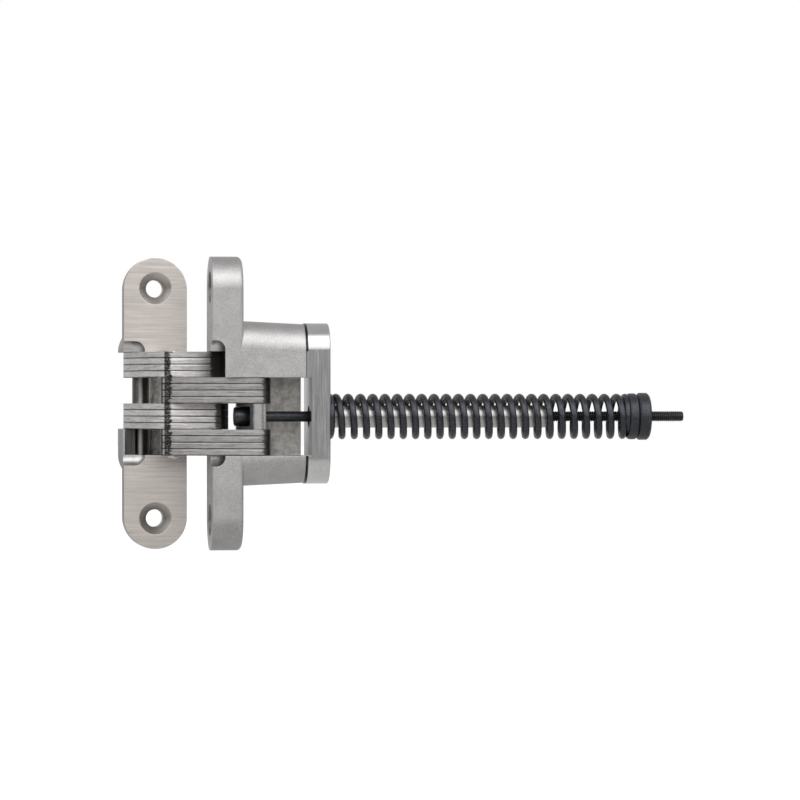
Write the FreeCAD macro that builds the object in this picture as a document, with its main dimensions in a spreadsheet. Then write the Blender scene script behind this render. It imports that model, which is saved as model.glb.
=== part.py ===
import FreeCAD, Part
import Sketcher
import math
import os

# Concealed door hinge with a spring closer, opened to a right angle.
# Millimetres, Z up. The origin is midway between the closer leaf's two screw holes, on
# the rear of its ears, which is the plane X = 0. Its pocket runs back along +X and its
# width lies along Y.
# Both leaves are the same casting. Each is modelled in a leaf frame: X from minus
# leaf_width at the outer edge to 0 at the knuckle edge, Y the depth behind the face.

vec = FreeCAD.Vector
doc = FreeCAD.newDocument("ConcealedDoorHinge")
sheet = doc.addObject("Spreadsheet::Sheet", "Dimensions")

DIMENSIONS = {
    "leaf_height": 117.475,
    "leaf_width": 25.4,
    "ear_thickness": 12.4,
    "ear_edge_round": 2.0,
    "screw_spacing": 92.8,
    "screw_hole": 7.15,
    "countersink": 13.1,
    "countersink_angle": 82.0,
    "body_height": 66.5,
    "body_rear_height": 63.5,
    "body_corner": 10.6,
    "body_depth": 37.3,
    "side_inset": 0.3,
    "side_draft": 0.4,
    "knuckle_wall": 6.6,
    "pivot_row_wall": 15.5,
    "side_wall": 4.0,
    "side_lip": 0.8,
    "side_lip_depth": 12.0,
    "pocket_mouth_depth": 11.6,
    "pocket_step_depth": 12.2,
    "pocket_slope_depth": 19.2,
    "notch_width": 8.5,
    "notch_depth": 5.0,
    "notch_reach": 4.2,
    "notch_corner": 4.0,
    "notch_end_round": 3.6,
    "plate_thickness": 2.5,
    "plate_gap": 0.1,
    "plates_per_row": 4,
    "leaf_setback": 7.4,
    "pivot_inset": 3.8,
    "pivot_depth": 3.7,
    "slide_inset": 17.3,
    "slide_depth": 16.8,
    "centre_reach": 14.5,
    "turn_share": 0.5,
    "opening_half_angle": 90.0,
    "slide_eye": 14.1,
    "centre_eye": 9.4,
    "pivot_eye": 9.2,
    "waist_width": 6.0,
    "waist_bow": 4.9,
    "waist_along": 19.0,
    "arm_round": 72.0,
    "pivot_pin": 4.4,
    "centre_pin": 4.8,
    "centre_pin_foot": 1.5,
    "centre_pin_top": 0.4,
    "centre_pin_round": 0.35,
    "slide_pin": 6.9,
    "pin_bury": 3.6,
    "running_fit": 0.06,
    "path_clearance": 0.45,
    "drum_diameter": 13.0,
    "drum_seat_setback": 1.8,
    "rod_diameter": 4.2,
    "rod_length": 176.9,
    "rod_play": 0.4,
    "cap_head_diameter": 7.6,
    "cap_head_height": 5.7,
    "socket_across_flats": 4.0,
    "socket_depth": 3.0,
    "end_plate_thickness": 9.8,
    "end_plate_height": 64.2,
    "end_plate_relief": 2.1,
    "end_plate_hole": 8.7,
    "end_plate_bevel": 0.4,
    "plate_screw_shank": 4.0,
    "plate_screw_head": 7.0,
    "plate_screw_head_height": 2.4,
    "plate_screw_spacing": 54.0,
    "plate_screw_length": 17.0,
    "plate_screw_socket": 2.6,
    "plate_screw_socket_depth": 1.4,
    "tube_diameter": 9.0,
    "tube_bore": 4.8,
    "tube_length": 89.4,
    "spring_diameter": 18.6,
    "spring_wire": 3.0,
    "spring_length": 121.6,
    "spring_turns": 23.5,
    "washer_thickness": 4.2,
    "washer_diameter": 18.6,
    "washer_round": 1.4,
    "nut_diameter": 19.0,
    "nut_thickness": 4.7,
    "nut_bevel": 0.8,
}

DERIVED = {
    "plate_pitch": "=plate_thickness + plate_gap",
    "row_height": "=plate_pitch * plates_per_row",
    "drum_height": "=row_height - plate_gap",
    "end_row_height": "=row_height + plate_gap / 2",
    "pocket_height": "=4 * row_height + plate_gap",
    "pin_length": "=pocket_height + 2 * pin_bury",
    "tap_depth": "=plate_screw_length - end_plate_thickness + plate_screw_head_height + path_clearance",
}

for row, (alias, content) in enumerate(list(DIMENSIONS.items()) + list(DERIVED.items()), start=1):
    sheet.set("A%d" % row, alias)
    sheet.set("B%d" % row, str(content))
    sheet.setAlias("B%d" % row, alias)
doc.recompute()


def dim(alias):
    """A driving dimension, read from the sheet."""
    return float(sheet.get(alias))


# Values used all over, worked out from the driving dimensions.

PIN_LENGTH = "Dimensions.pin_length"
row_height = dim("row_height")
pocket_half = dim("pocket_height") / 2
pin_half = dim("pin_length") / 2
setback = dim("leaf_setback")
seat = dim("ear_thickness")
half_width = dim("leaf_width") / 2

pivot = vec(-dim("pivot_inset"), dim("pivot_depth"), 0)
slide = vec(-dim("slide_inset"), dim("slide_depth"), 0)
centre = vec(setback - dim("centre_reach"), -dim("centre_reach"), 0)


def across(point):
    """The same point of the other leaf, in this leaf's frame, with the hinge at a right angle."""
    return vec(setback + point.y, point.x - setback, -point.z)


def turned(point, about, angle):
    """A point turned about a vertical axis by an angle in degrees."""
    return about + FreeCAD.Rotation(vec(0, 0, 1), angle).multVec(point - about)


far_pivot = across(pivot)

# The frame leaf's place, and the closer leaf's, which is the same casting upside down.
FRAME_PLACE = FreeCAD.Placement(vec(-seat - setback, half_width + setback, 0), FreeCAD.Rotation())
CLOSER_PLACE = FreeCAD.Placement(vec(-seat, half_width, 0), FreeCAD.Rotation(vec(1, 1, 0), 180))

slide_row = CLOSER_PLACE.multVec(slide)
pivot_row = CLOSER_PLACE.multVec(pivot)
centre_row = FRAME_PLACE.multVec(centre)
rod_height = -row_height / 2


def slide_at(opening):
    """Where the frame leaf's sliding pin lies at an opening angle, 0 at the right angle."""
    swing = opening / (1 + dim("turn_share"))
    moved_centre = turned(centre, pivot, swing)
    return moved_centre + turned(slide, centre, dim("turn_share") * swing) - centre


def pin_in_link(opening):
    """Where a leaf's pivot pin lies beside the link that slides in that leaf, in the link at rest."""
    swing = opening / (1 + dim("turn_share"))
    moved_centre = turned(centre, pivot, swing)
    return turned(pivot + centre - moved_centre, centre, -dim("turn_share") * swing)


SWING_STEPS = 12
WAY_OF_SWING = [dim("opening_half_angle") * (i / SWING_STEPS - 1) for i in range(2 * SWING_STEPS + 1)]
slide_path = [slide_at(opening) for opening in WAY_OF_SWING]


def circle_through(first, second, third):
    circle = Part.Arc(first, second, third).toShape().Curve
    return circle.Center, circle.Radius


# Sketch and feature helpers.


def new_body(label):
    body = doc.addObject("PartDesign::Body", label)
    body.Label = label
    return body


def new_sketch(body, name, role, offset=0.0):
    sketch = body.newObject("Sketcher::SketchObject", name)
    plane = [item for item in body.Origin.OriginFeatures if item.Role == role][0]
    sketch.AttachmentSupport = [(plane, "")]
    sketch.MapMode = "FlatFace"
    sketch.AttachmentOffset = FreeCAD.Placement(vec(0, 0, offset), FreeCAD.Rotation())
    return sketch


def draw_chain(sketch, pieces):
    """Draws lines and arcs that follow each other and ties their ends into one closed outline.

    Sketcher turns an arc counter-clockwise whichever way it was drawn, so the ends
    that meet are found by their places.
    """
    first = sketch.GeometryCount
    for piece in pieces:
        sketch.addGeometry(piece, False)
    count = len(pieces)
    for i in range(count):
        here, after = first + i, first + (i + 1) % count
        pairs = [(a, b) for a in (1, 2) for b in (1, 2)
                 if sketch.getPoint(here, a).distanceToPoint(sketch.getPoint(after, b)) < 1e-6]
        sketch.addConstraint(Sketcher.Constraint("Coincident", here, pairs[0][0], after, pairs[0][1]))
    return first


def lines(points):
    return [Part.LineSegment(points[i], points[(i + 1) % len(points)]) for i in range(len(points))]


def rounded_box(low_x, low_y, high_x, high_y, radius):
    """A rectangle with round corners, as lines and arcs."""
    lean = radius * (1 - math.sqrt(0.5))
    corners = [(low_x, low_y, 1, 1), (high_x, low_y, -1, 1), (high_x, high_y, -1, -1), (low_x, high_y, 1, -1)]
    ends = []
    for i, (x, y, sx, sy) in enumerate(corners):
        along_x = vec(x + sx * radius, y, 0)
        along_y = vec(x, y + sy * radius, 0)
        middle = vec(x + sx * lean, y + sy * lean, 0)
        ends.append((along_y, middle, along_x) if i % 2 == 0 else (along_x, middle, along_y))
    pieces = []
    for i in range(4):
        pieces.append(Part.Arc(*ends[i]))
        following = ends[(i + 1) % 4]
        if ends[i][2].distanceToPoint(following[0]) > 1e-6:
            pieces.append(Part.LineSegment(ends[i][2], following[0]))
    return pieces


def draw_circle(sketch, place, diameter_alias, extra=""):
    number = sketch.addGeometry(Part.Circle(place, vec(0, 0, 1), 1.0), False)
    held = sketch.addConstraint(Sketcher.Constraint("Diameter", number, 2.0))
    sketch.setExpression("Constraints[%d]" % held, "Dimensions.%s%s" % (diameter_alias, extra))
    for kind, amount in (("DistanceX", place.x), ("DistanceY", place.y)):
        sketch.addConstraint(Sketcher.Constraint(kind, number, 3, amount))
    return number


def feature(body, kind, name, sketch, length, **settings):
    made = body.newObject("PartDesign::" + kind, name)
    made.Profile = sketch
    made.setExpression("Length", length)
    for key, setting in settings.items():
        setattr(made, key, setting)
    sketch.Visibility = False
    doc.recompute()
    return made


def edges_where(shape, test):
    return ["Edge%d" % (i + 1) for i, edge in enumerate(shape.Edges) if test(edge)]


def dress(body, kind, name, base, test, size):
    """A fillet or chamfer on the edges that pass a test."""
    made = body.newObject("PartDesign::" + kind, name)
    made.Base = (base, edges_where(base.Shape, test))
    made.setExpression("Radius" if kind == "Fillet" else "Size", size)
    doc.recompute()
    return made


# The two leaves: one casting, used twice.


def pocket_outline(wall, slope_top, closed_side):
    """A row's pocket in plan: open at the rear and, unless its outer side is closed, at that side."""
    beyond = half_width
    rear = dim("body_depth") + beyond
    mouth = dim("pocket_mouth_depth")
    knuckle_side = [
        vec(beyond, -beyond, 0),
        vec(beyond, mouth, 0),
        vec(0, mouth, 0),
        vec(-wall, slope_top, 0),
        vec(-wall, rear, 0),
    ]
    if not closed_side:
        outer = -dim("leaf_width") - beyond
        return lines(knuckle_side + [vec(outer, rear, 0), vec(outer, -beyond, 0)])
    lip = dim("side_lip") - dim("leaf_width")
    thick = dim("side_wall") - dim("leaf_width")
    step = dim("side_lip_depth")
    return lines(knuckle_side + [vec(thick, rear, 0), vec(thick, step, 0), vec(lip, step, 0),
                                 vec(lip, -beyond, 0)])


def cut_row(body, name, row_number, wall, slope_top):
    """Cuts one of the four rows, counted from the top."""
    bottom = -pocket_half if row_number == 4 else row_height * (2 - row_number)
    sketch = new_sketch(body, name + "Sketch", "XY_Plane", bottom)
    draw_chain(sketch, pocket_outline(wall, slope_top, row_number == 4))
    height = "end_row_height" if row_number in (1, 4) else "row_height"
    return feature(body, "Pocket", name, sketch, "Dimensions." + height, Reversed=True)


def groove_outline():
    """The sliding pin's groove: an arc along the pin's path, as wide as the pin and its play."""
    ends = [slide_path[0], slide_path[-1]]
    middle = slide_path[SWING_STEPS - 2]
    hub, radius = circle_through(ends[0], middle, ends[1])
    stray = max(abs(point.distanceToPoint(hub) - radius) for point in slide_path)
    half = dim("slide_pin") / 2 + stray + dim("path_clearance")
    reach = [(end - hub).normalize() for end in ends]
    mid_way = (middle - hub).normalize()
    inner = [hub + way * (radius - half) for way in (reach[0], mid_way, reach[1])]
    outer = [hub + way * (radius + half) for way in (reach[0], mid_way, reach[1])]
    caps = [ends[0] + vec(-reach[0].y, reach[0].x, 0) * half, ends[1] + vec(-reach[1].y, reach[1].x, 0) * half]
    if caps[0].distanceToPoint(ends[1]) < ends[0].distanceToPoint(ends[1]):
        caps[0] = ends[0] * 2 - caps[0]
    if caps[1].distanceToPoint(ends[0]) < ends[1].distanceToPoint(ends[0]):
        caps[1] = ends[1] * 2 - caps[1]
    return [
        Part.Arc(inner[0], inner[1], inner[2]),
        Part.Arc(inner[2], caps[1], outer[2]),
        Part.Arc(outer[2], outer[1], outer[0]),
        Part.Arc(outer[0], caps[0], inner[0]),
    ]


def make_leaf(label, place, holds_drum):
    body = new_body(label)
    width, height = dim("leaf_width"), dim("leaf_height")

    face = new_sketch(body, label + "Face", "XZ_Plane")
    straight = height / 2 - half_width
    draw_chain(face, [
        Part.LineSegment(vec(-width, -straight, 0), vec(-width, straight, 0)),
        Part.Arc(vec(-width, straight, 0), vec(-half_width, height / 2, 0), vec(0, straight, 0)),
        Part.LineSegment(vec(0, straight, 0), vec(0, -straight, 0)),
        Part.Arc(vec(0, -straight, 0), vec(-half_width, -height / 2, 0), vec(-width, -straight, 0)),
    ])
    plate = feature(body, "Pad", label + "Plate", face, "Dimensions.ear_thickness", Reversed=True)
    thick = dim("ear_thickness")
    dress(body, "Fillet", label + "EarRound", plate,
          lambda edge: abs(edge.BoundBox.YMin - thick) < 1e-4, "Dimensions.ear_edge_round")

    sections = []
    for name, depth, tall, draft in (("Front", thick / 2, dim("body_height"), dim("side_inset")),
                                     ("Rear", dim("body_depth"), dim("body_rear_height"), dim("side_draft"))):
        section = new_sketch(body, label + name, "XZ_Plane", -depth)
        draw_chain(section, rounded_box(draft - width, -tall / 2, -draft, tall / 2, dim("body_corner")))
        sections.append(section)
    loft = body.newObject("PartDesign::AdditiveLoft", label + "Housing")
    loft.Profile = sections[0]
    loft.Sections = [sections[1]]
    loft.Ruled = True
    doc.recompute()

    beyond = -width - half_width
    for row_number in (1, 2, 3, 4):
        slides = row_number in (1, 3)
        slope = dim("pocket_slope_depth" if slides else "pocket_step_depth")
        thin = slides or (holds_drum and row_number == 2)
        wall = dim("knuckle_wall" if thin else "pivot_row_wall")
        cut_row(body, "%sRow%d" % (label, row_number), row_number, wall, slope)

    notch = new_sketch(body, label + "Notch", "XZ_Plane")
    tall = pocket_half + dim("notch_reach")
    draw_chain(notch, rounded_box(beyond, -tall, dim("notch_width") - width, tall, dim("notch_corner")))
    cut = feature(body, "Pocket", label + "NotchCut", notch, "Dimensions.notch_depth")
    floor = dim("notch_depth")
    dress(body, "Fillet", label + "NotchRound", cut,
          lambda edge: abs(edge.BoundBox.YMin - floor) < 1e-4 and abs(edge.BoundBox.YMax - floor) < 1e-4
          and max(abs(edge.BoundBox.ZMin), abs(edge.BoundBox.ZMax)) > tall - dim("notch_corner") - 1e-4
          and edge.BoundBox.XMax > -width + 1e-4, "Dimensions.notch_end_round")

    holes = new_sketch(body, label + "ScrewHoles", "XZ_Plane")
    for side in (-1, 1):
        draw_circle(holes, vec(-half_width, side * dim("screw_spacing") / 2, 0), "screw_hole")
    doc.recompute()
    hole = body.newObject("PartDesign::Hole", label + "Holes")
    hole.Profile = holes
    hole.DepthType = "ThroughAll"
    hole.Threaded = False
    hole.setExpression("Diameter", "Dimensions.screw_hole")
    hole.HoleCutType = "Countersink"
    hole.HoleCutCustomValues = True
    hole.setExpression("HoleCutDiameter", "Dimensions.countersink")
    hole.setExpression("HoleCutCountersinkAngle", "Dimensions.countersink_angle")
    doc.recompute()

    pin = new_sketch(body, label + "PinHole", "XY_Plane")
    draw_circle(pin, pivot, "pivot_pin")
    feature(body, "Pocket", label + "PinHoleCut", pin, PIN_LENGTH, Midplane=True)

    groove = new_sketch(body, label + "Groove", "XY_Plane")
    draw_chain(groove, groove_outline())
    last = feature(body, "Pocket", label + "GrooveCut", groove,
                   PIN_LENGTH + " + Dimensions.path_clearance", Midplane=True)

    if holds_drum:
        taps = new_sketch(body, label + "Taps", "XZ_Plane", -dim("body_depth"))
        for side in (-1, 1):
            draw_circle(taps, vec(-half_width, side * dim("plate_screw_spacing") / 2, 0), "plate_screw_shank")
        last = feature(body, "Pocket", label + "TapCut", taps, "Dimensions.tap_depth", Reversed=True)
    body.Tip = last
    body.Placement = place
    return body


make_leaf("frame_leaf", FRAME_PLACE, False)
make_leaf("closer_leaf", CLOSER_PLACE, True)


# The sixteen link plates, all of one outline.


def tangent(first, first_radius, second, second_radius, side):
    """The ends of the line that touches two circles on one side, seen from the first to the second."""
    way = second - first
    lean = math.asin((first_radius - second_radius) / way.Length)
    direction = math.atan2(way.y, way.x) + side * (math.pi / 2 - lean)
    normal = vec(math.cos(direction), math.sin(direction), 0)
    return first + normal * first_radius, second + normal * second_radius


def meet(line_a, line_b):
    """The point where two lines, each given by two points, cross."""
    a, b = line_a
    c, d = line_b
    p, q = b - a, d - c
    share = ((c.x - a.x) * q.y - (c.y - a.y) * q.x) / (p.x * q.y - p.y * q.x)
    return a + p * share


def arc_round(hub, start, end, toward):
    """The arc of a circle about hub from start to end that passes the side of toward."""
    radius = (start - hub).Length
    return Part.Arc(start, hub + (toward - hub).normalize() * radius, end)


arm_way = (slide - centre).normalize()
arm_side = vec(arm_way.y, -arm_way.x, 0)
waist = centre + arm_way * dim("waist_along") - arm_side * dim("waist_bow")


def arm_back(r_slide, r_centre):
    """The ends and the top of the arc that touches both eyes on the arm's outer side."""
    radius = dim("arm_round")
    span = (slide - centre).Length
    along_arm = ((radius - r_centre) ** 2 - (radius - r_slide) ** 2 + span ** 2) / (2 * span)
    aside = math.sqrt((radius - r_centre) ** 2 - along_arm ** 2)
    hub = centre + arm_way * along_arm + arm_side * aside
    start = slide + (slide - hub).normalize() * r_slide
    end = centre + (centre - hub).normalize() * r_centre
    return start, hub - arm_side * radius, end


def link_outline():
    """Round the sliding eye, down the bowed arm to the centre eye and out to the pivot eye."""
    r_slide, r_waist = dim("slide_eye") / 2, dim("waist_width") / 2
    r_centre, r_pivot = dim("centre_eye") / 2, dim("pivot_eye") / 2
    back_start, back_top, back_end = arm_back(r_slide, r_centre)
    foot = tangent(centre, r_centre, far_pivot, r_pivot, -1)
    foot_back = tangent(far_pivot, r_pivot, centre, r_centre, -1)
    lower_in = tangent(centre, r_centre, waist, r_waist, -1)
    upper_in = tangent(waist, r_waist, slide, r_slide, -1)
    elbow = meet(foot_back, lower_in)
    bend = meet(lower_in, upper_in)
    return [
        Part.Arc(back_start, back_top, back_end),
        arc_round(centre, back_end, foot[0], centre * 2 - waist - (far_pivot - centre)),
        Part.LineSegment(*foot),
        arc_round(far_pivot, foot[1], foot_back[0], far_pivot * 2 - centre),
        Part.LineSegment(foot_back[0], elbow),
        Part.LineSegment(elbow, bend),
        Part.LineSegment(bend, upper_in[1]),
        arc_round(slide, upper_in[1], back_start, slide * 2 - waist),
    ]


def relief_outline():
    """The notch that the fixed pivot pin enters when the hinge opens flat."""
    half = dim("pivot_pin") / 2 + dim("path_clearance")
    inner = pin_in_link(dim("opening_half_angle"))
    outer = pin_in_link(WAY_OF_SWING[SWING_STEPS + 1])
    way = (outer - inner).normalize()
    side = vec(way.y, -way.x, 0) * half
    return [
        Part.LineSegment(outer + side, inner + side),
        Part.Arc(inner + side, inner - way * half, inner - side),
        Part.LineSegment(inner - side, outer - side),
        Part.Arc(outer - side, outer + way * half, outer + side),
    ]


def make_link(label, level, turned_over):
    """One link plate with its underside at a level, in the frame leaf's or the closer leaf's set."""
    body = new_body(label)
    outline = new_sketch(body, label + "Outline", "XY_Plane")
    draw_chain(outline, link_outline())
    feature(body, "Pad", label + "Pad", outline, "Dimensions.plate_thickness")
    relief = new_sketch(body, label + "Relief", "XY_Plane")
    draw_chain(relief, relief_outline())
    feature(body, "Pocket", label + "ReliefCut", relief, "Dimensions.plate_thickness", Reversed=True)
    eyes = new_sketch(body, label + "Eyes", "XY_Plane")
    play = " + 2 * Dimensions.running_fit"
    draw_circle(eyes, slide, "slide_pin", play if turned_over else "")
    draw_circle(eyes, centre, "centre_pin", "" if turned_over else play)
    draw_circle(eyes, far_pivot, "pivot_pin", play)
    body.Tip = feature(body, "Pocket", label + "EyeCut", eyes, "Dimensions.plate_thickness", Reversed=True)
    if turned_over:
        top = level + dim("plate_thickness")
        flipped = FreeCAD.Placement(vec(setback, -setback, top), FreeCAD.Rotation(vec(1, 1, 0), 180))
        body.Placement = FRAME_PLACE.multiply(flipped)
    else:
        body.Placement = FRAME_PLACE.multiply(FreeCAD.Placement(vec(0, 0, level), FreeCAD.Rotation()))
    return body


for row_number in (1, 2, 3, 4):
    row_top = row_height * (3 - row_number)
    for place_in_row in range(int(dim("plates_per_row"))):
        plate_level = row_top - dim("plate_pitch") * (place_in_row + 1) + dim("plate_gap") / 2
        make_link("link_row%d_plate%d" % (row_number, place_in_row + 1), plate_level, row_number in (2, 4))


# Pins.


def bind(item, **expressions):
    for name, expression in expressions.items():
        item.setExpression(name, expression)


def make_pin(label, diameter, place, length):
    pin = doc.addObject("Part::Cylinder", label)
    pin.Label = label
    bind(pin, Radius="Dimensions.%s / 2" % diameter, Height=length)
    pin.Placement.Base = place
    return pin


pin_low = vec(0, 0, -pin_half)
make_pin("frame_pivot_pin", "pivot_pin", FRAME_PLACE.multVec(pivot) + pin_low, PIN_LENGTH)
make_pin("closer_pivot_pin", "pivot_pin", pivot_row + pin_low, PIN_LENGTH)
centre_bar = make_pin("centre_pin_bar", "centre_pin", centre_row - vec(0, 0, pocket_half + dim("centre_pin_foot")),
                      "Dimensions.pocket_height + Dimensions.centre_pin_foot + Dimensions.centre_pin_top")
doc.recompute()
centre_pin = doc.addObject("Part::Fillet", "centre_pin")
centre_pin.Base = centre_bar
centre_pin.Edges = [(i + 1, dim("centre_pin_round"), dim("centre_pin_round"))
                    for i, edge in enumerate(centre_bar.Shape.Edges) if edge.BoundBox.ZLength < 1e-6]
make_pin("slide_pin", "slide_pin", FRAME_PLACE.multVec(slide) + pin_low, PIN_LENGTH)


def box(label, low, high):
    made = doc.addObject("Part::Box", label)
    size = high - low
    made.Length, made.Width, made.Height = size.x, size.y, size.z
    made.Placement.Base = low
    return made


def cylinder(label, radius, height, base, direction=vec(0, 0, 1)):
    """A cylinder whose radius and height are expressions."""
    made = doc.addObject("Part::Cylinder", label)
    bind(made, Radius=radius, Height=height)
    made.Placement = FreeCAD.Placement(base, FreeCAD.Rotation(vec(0, 0, 1), direction))
    return made


def joined(label, kind, base, tools):
    if kind == "Cut" and len(tools) == 1:
        made = doc.addObject("Part::Cut", label)
        made.Base, made.Tool = base, tools[0]
    elif kind == "Cut":
        group = doc.addObject("Part::MultiFuse", label + "_tools")
        group.Shapes = tools
        made = doc.addObject("Part::Cut", label)
        made.Base, made.Tool = base, group
    else:
        made = doc.addObject("Part::MultiFuse", label)
        made.Shapes = [base] + tools
        made.Refine = True
    made.Label = label
    return made


# The pull pin: trunnions in the closer leaf's grooves and a drum that the rod draws on.

strays = [point.x - slide.x for point in slide_path]
aside = (max(strays) + min(strays)) / 2
stray = (max(strays) - min(strays)) / 2
drum_centre = slide_row + vec(0, 0, rod_height)
rod_axis = vec(0, slide_row.y + aside, rod_height)
play = dim("rod_play")
rod_radius = dim("rod_diameter") / 2
head_radius = dim("cap_head_diameter") / 2
drum_radius = dim("drum_diameter") / 2
beyond_drum = drum_radius + play
drum = cylinder("pull_drum", "Dimensions.drum_diameter / 2", "Dimensions.drum_height",
                drum_centre - vec(0, 0, dim("drum_height") / 2))
trunnion = cylinder("pull_trunnion", "Dimensions.slide_pin / 2", PIN_LENGTH, slide_row + pin_low)
slot_half = stray + rod_radius + play
rod_slot = box("pull_rod_slot",
               drum_centre + vec(-beyond_drum, -slot_half, -rod_radius - play / 2),
               drum_centre + vec(beyond_drum, slot_half, rod_radius + play / 2))
head_recess = box("pull_head_recess",
                  drum_centre + vec(-beyond_drum, -beyond_drum, -head_radius - play / 2),
                  drum_centre + vec(-dim("drum_seat_setback"), stray + head_radius + play,
                                    head_radius + play / 2))
joined("pull_pin", "Cut", joined("pull_solid", "Fuse", drum, [trunnion]), [rod_slot, head_recess])


# The closer rod, a long cap screw, with its washer and adjusting nut.

along = vec(1, 0, 0)
head_seat = slide_row.x - dim("drum_seat_setback")
head_start = head_seat - dim("cap_head_height")
plate_front = dim("body_depth") - seat
plate_rear = plate_front + dim("end_plate_thickness")
spring_end = plate_rear + dim("spring_length")
washer_end = spring_end + dim("washer_thickness")
nut_end = washer_end + dim("nut_thickness")

head = cylinder("rod_head", "Dimensions.cap_head_diameter / 2", "Dimensions.cap_head_height",
                rod_axis + vec(head_start, 0, 0), along)
shank = cylinder("rod_shank", "Dimensions.rod_diameter / 2", "Dimensions.rod_length",
                 rod_axis + vec(head_seat, 0, 0), along)
hexagon = doc.addObject("Part::Prism", "rod_socket")
hexagon.Polygon = 6
bind(hexagon, Circumradius="Dimensions.socket_across_flats / sqrt(3)", Height="Dimensions.socket_depth")
hexagon.Placement = FreeCAD.Placement(rod_axis + vec(head_start, 0, 0), FreeCAD.Rotation(vec(0, 0, 1), along))
joined("closer_rod", "Cut", joined("rod_solid", "Fuse", head, [shank]), [hexagon])

BORE = "Dimensions.rod_diameter / 2"
washer_disc = cylinder("washer_disc", "Dimensions.washer_diameter / 2", "Dimensions.washer_thickness",
                       rod_axis + vec(spring_end, 0, 0), along)
doc.recompute()
washer_edge = doc.addObject("Part::Fillet", "washer_edge")
washer_edge.Base = washer_disc
washer_edge.Edges = [(i + 1, dim("washer_round"), dim("washer_round"))
                     for i, edge in enumerate(washer_disc.Shape.Edges) if edge.BoundBox.XLength < 1e-6]
washer_bore = cylinder("washer_bore", BORE, "Dimensions.washer_thickness",
                       rod_axis + vec(spring_end, 0, 0), along)
joined("spring_washer", "Cut", washer_edge, [washer_bore])

nut_disc = cylinder("nut_disc", "Dimensions.nut_diameter / 2", "Dimensions.nut_thickness",
                    rod_axis + vec(washer_end, 0, 0), along)
doc.recompute()
nut_edge = doc.addObject("Part::Chamfer", "nut_edge")
nut_edge.Base = nut_disc
nut_edge.Edges = [(i + 1, dim("nut_bevel"), dim("nut_bevel"))
                  for i, edge in enumerate(nut_disc.Shape.Edges) if edge.BoundBox.XLength < 1e-6]
nut_bore = cylinder("nut_bore", BORE, "Dimensions.nut_thickness", rod_axis + vec(washer_end, 0, 0), along)
joined("adjusting_nut", "Cut", nut_edge, [nut_bore])


# The guide tube on the end plate.

tube_outer = cylinder("tube_outer", "Dimensions.tube_diameter / 2", "Dimensions.tube_length",
                      rod_axis + vec(plate_rear, 0, 0), along)
tube_bore = cylinder("tube_bore", "Dimensions.tube_bore / 2", "Dimensions.tube_length",
                     rod_axis + vec(plate_rear, 0, 0), along)
joined("guide_tube", "Cut", tube_outer, [tube_bore])


# The end plate, with its two screws.


def make_end_plate():
    body = new_body("end_plate")
    tall = dim("end_plate_height") / 2
    outline = new_sketch(body, "EndPlateOutline", "YZ_Plane", plate_front)
    draw_chain(outline, rounded_box(-half_width, -tall, half_width, tall, dim("body_corner")))
    slab = feature(body, "Pad", "EndPlatePad", outline, "Dimensions.end_plate_thickness")
    dress(body, "Chamfer", "EndPlateBevel", slab,
          lambda edge: edge.BoundBox.XLength < 1e-6, "Dimensions.end_plate_bevel")

    beyond = half_width + dim("end_plate_bevel")
    relief = new_sketch(body, "EndPlateRelief", "YZ_Plane", plate_front)
    draw_chain(relief, lines([vec(-beyond, -pocket_half, 0), vec(beyond, -pocket_half, 0),
                              vec(beyond, row_height, 0), vec(-beyond, row_height, 0)]))
    feature(body, "Pocket", "EndPlateReliefCut", relief, "Dimensions.end_plate_relief", Reversed=True)

    rod_hole = new_sketch(body, "EndPlateHole", "YZ_Plane", plate_front)
    draw_circle(rod_hole, vec(rod_axis.y, rod_axis.z, 0), "end_plate_hole")
    feature(body, "Pocket", "EndPlateHoleCut", rod_hole, "Dimensions.end_plate_thickness", Reversed=True)

    for side, word in ((1, "Upper"), (-1, "Lower")):
        spot = vec(0, side * dim("plate_screw_spacing") / 2, 0)
        through = new_sketch(body, "EndPlate%sHole" % word, "YZ_Plane", plate_front)
        draw_circle(through, spot, "plate_screw_shank", " + 2 * Dimensions.running_fit")
        feature(body, "Pocket", "EndPlate%sHoleCut" % word, through, "Dimensions.end_plate_thickness",
                Reversed=True)
        sink = new_sketch(body, "EndPlate%sSink" % word, "YZ_Plane", plate_rear)
        draw_circle(sink, spot, "plate_screw_head", " + 2 * Dimensions.running_fit")
        body.Tip = feature(body, "Pocket", "EndPlate%sSinkCut" % word, sink,
                           "Dimensions.plate_screw_head_height")
    return body


make_end_plate()

for side, word in ((1, "upper"), (-1, "lower")):
    spot = vec(plate_rear - dim("plate_screw_head_height"), 0, side * dim("plate_screw_spacing") / 2)
    screw_head = cylinder(word + "_screw_head", "Dimensions.plate_screw_head / 2",
                          "Dimensions.plate_screw_head_height", spot, along)
    screw_shank = cylinder(word + "_screw_shank", "Dimensions.plate_screw_shank / 2",
                           "Dimensions.plate_screw_length", spot, along * -1)
    recess = doc.addObject("Part::Prism", word + "_screw_socket")
    recess.Polygon = 6
    bind(recess, Circumradius="Dimensions.plate_screw_socket / sqrt(3)",
         Height="Dimensions.plate_screw_socket_depth")
    recess.Placement = FreeCAD.Placement(spot + along * dim("plate_screw_head_height"),
                                         FreeCAD.Rotation(vec(0, 0, 1), along * -1))
    joined("end_plate_screw_" + word, "Cut",
           joined(word + "_screw_solid", "Fuse", screw_head, [screw_shank]), [recess])


# The closer spring: open turns between two closed end turns, with its ends cut flat.


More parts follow.
